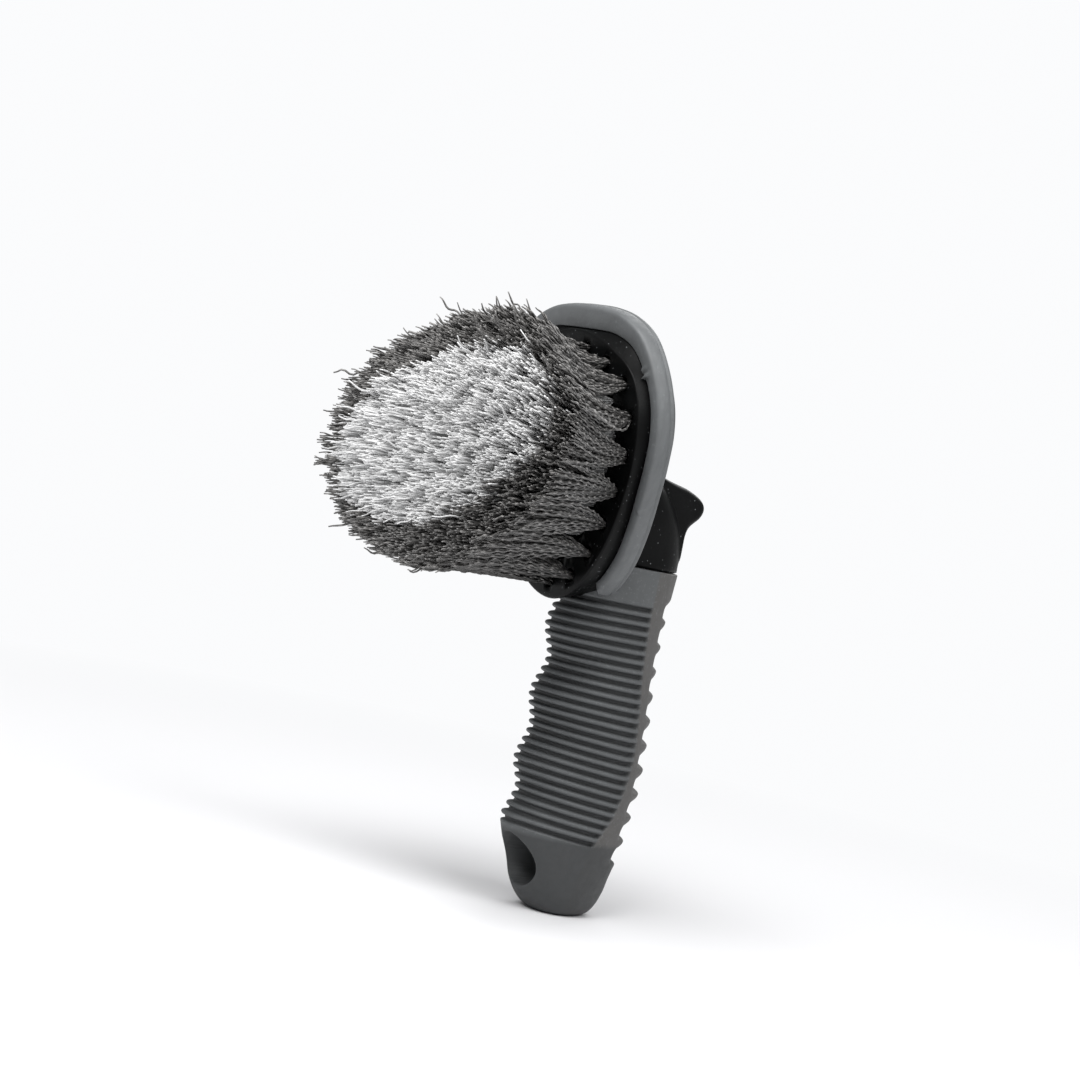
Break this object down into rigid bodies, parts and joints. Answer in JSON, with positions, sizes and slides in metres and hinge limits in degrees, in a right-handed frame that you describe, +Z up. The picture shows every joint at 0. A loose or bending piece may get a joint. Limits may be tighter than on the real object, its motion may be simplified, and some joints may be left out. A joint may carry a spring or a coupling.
{
  "type": "wheel brush",
  "caption": "Short-handled wheel brush: oval head of dark and white bristle tufts, rubber rim bumper, thumb rest and a ribbed rubber grip with a hang hole.",
  "frame": {"origin": "centre of the flat end of the pommel", "axes": "+Z up the handle towards the head, -Y the way the bristles point, X across with the brush mirrored about X = 0"},
  "size_m": [0.1384, 0.1176, 0.2155],
  "materials": {
    "core_plastic": "satin moulded black plastic",
    "grip_rubber": "matte grey soft-touch rubber",
    "bumper_rubber": "matte lighter grey soft rubber",
    "bristle_dark": "crimped dark grey synthetic fibre",
    "bristle_light": "crimped white synthetic fibre with flagged tips"
  },
  "bodies": {
    "root": {"core": "core_plastic", "grip": "grip_rubber", "bumper": "bumper_rubber", "tuft_row1_01": "bristle_dark", "tuft_row1_02": "bristle_dark", "tuft_row1_03": "bristle_dark", "tuft_row1_04": "bristle_dark", "tuft_row1_05": "bristle_dark", "tuft_row1_06": "bristle_dark", "tuft_row1_07": "bristle_dark", "tuft_row1_08": "bristle_dark", "tuft_row1_09": "bristle_dark", "tuft_row1_10": "bristle_dark", "tuft_row1_11": "bristle_dark", "tuft_row1_12": "bristle_dark", "tuft_row1_13": "bristle_dark", "tuft_row1_14": "bristle_dark", "tuft_row1_15": "bristle_dark", "tuft_row1_16": "bristle_dark", "tuft_row1_17": "bristle_dark", "tuft_row1_18": "bristle_dark", "tuft_row1_19": "bristle_dark", "tuft_row2_01": "bristle_light", "tuft_row2_02": "bristle_light", "tuft_row2_03": "bristle_light", "tuft_row2_04": "bristle_light", "tuft_row2_05": "bristle_light", "tuft_row2_06": "bristle_light", "tuft_row2_07": "bristle_light", "tuft_row2_08": "bristle_light", "tuft_row2_09": "bristle_light", "tuft_row2_10": "bristle_light", "tuft_row2_11": "bristle_light", "tuft_row2_12": "bristle_light", "tuft_row2_13": "bristle_light", "tuft_row2_14": "bristle_light", "tuft_row2_15": "bristle_light", "tuft_row3_01": "bristle_light", "tuft_row3_02": "bristle_light", "tuft_row3_03": "bristle_light", "tuft_row3_04": "bristle_light", "tuft_row3_05": "bristle_light", "tuft_row3_06": "bristle_light", "tuft_row3_07": "bristle_light", "tuft_row3_08": "bristle_light", "tuft_row3_09": "bristle_light", "tuft_row3_10": "bristle_light", "tuft_row4_01": "bristle_light", "tuft_row4_02": "bristle_light", "tuft_row4_03": "bristle_light", "tuft_row4_04": "bristle_light", "tuft_row4_05": "bristle_light"}
  },
  "joints": []
}
